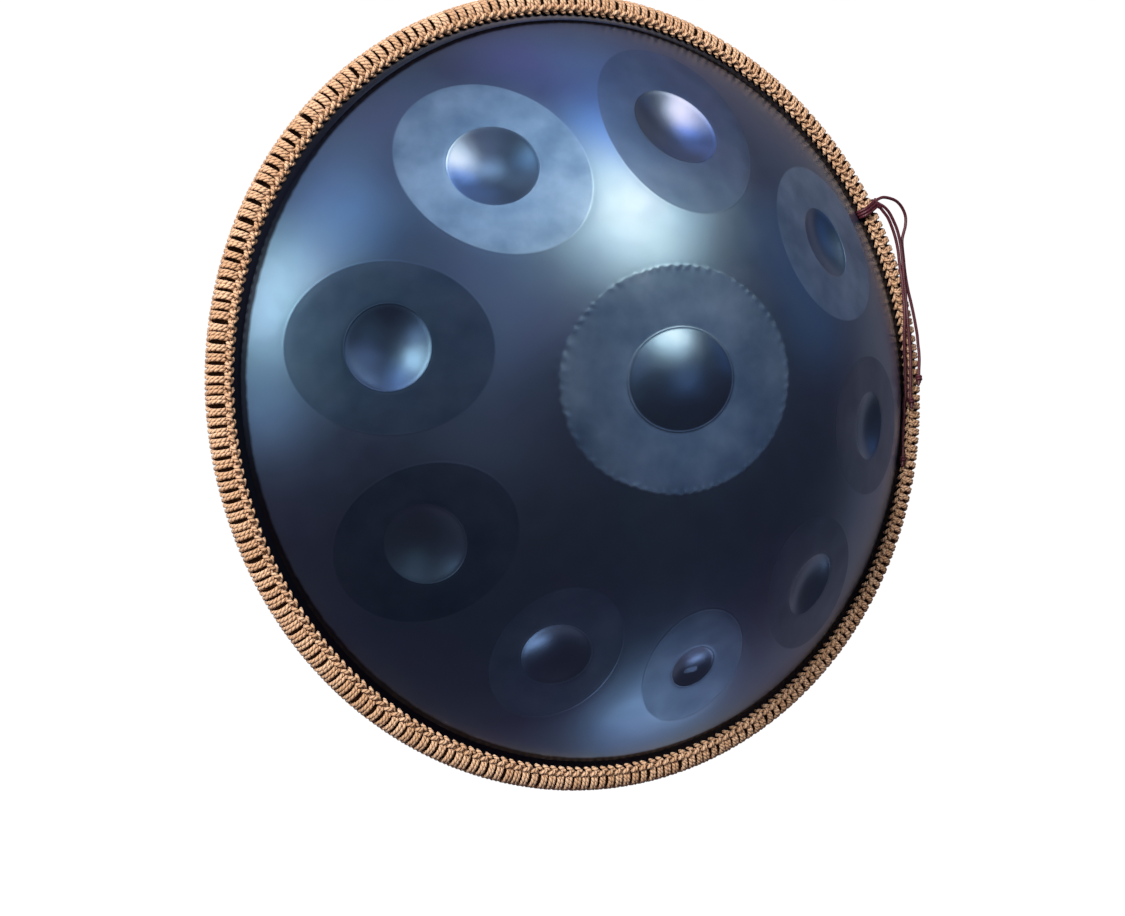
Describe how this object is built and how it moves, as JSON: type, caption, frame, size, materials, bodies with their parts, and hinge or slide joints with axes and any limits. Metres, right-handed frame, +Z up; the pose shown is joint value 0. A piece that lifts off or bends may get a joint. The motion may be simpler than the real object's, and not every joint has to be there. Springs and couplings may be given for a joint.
{
  "type": "handpan",
  "caption": "Handpan: two domed steel shells bonded at the rim, dimpled oval tone fields round a centre dome, port below, crocheted rim cord and a short tie cord.",
  "frame": {"origin": "centre of the plan on the surface that the instrument rests on, under the lip of the port", "axes": "+Z up along the centre dome's axis; +Y towards the two largest tone fields; +X to the right of it, with the tie cord hitched on the rim about 24 degrees round from +X towards +Y"},
  "size_m": [0.5633, 0.5598, 0.2239],
  "materials": {
    "nitrided_steel": "satin heat-tinted dark blue steel with faint violet and grey drifts",
    "jute_cord": "natural tan two-ply jute cord, crocheted, matt and fibrous",
    "waxed_cord": "wine red braided waxed cord with a soft sheen",
    "rim_glue": "matt grey structural adhesive"
  },
  "bodies": {
    "root": {"top_shell": "nitrided_steel", "bottom_shell": "nitrided_steel", "rim_bond": "rim_glue", "rim_wrap": "jute_cord", "rim_chain_top": "jute_cord", "rim_chain_bottom": "jute_cord", "tie_hitch": "waxed_cord", "tie_strand_a": "waxed_cord", "tie_strand_b": "waxed_cord", "tie_strand_c": "waxed_cord", "tie_knot_a": "waxed_cord", "tie_knot_b": "waxed_cord", "tie_knot_c": "waxed_cord"}
  },
  "joints": []
}
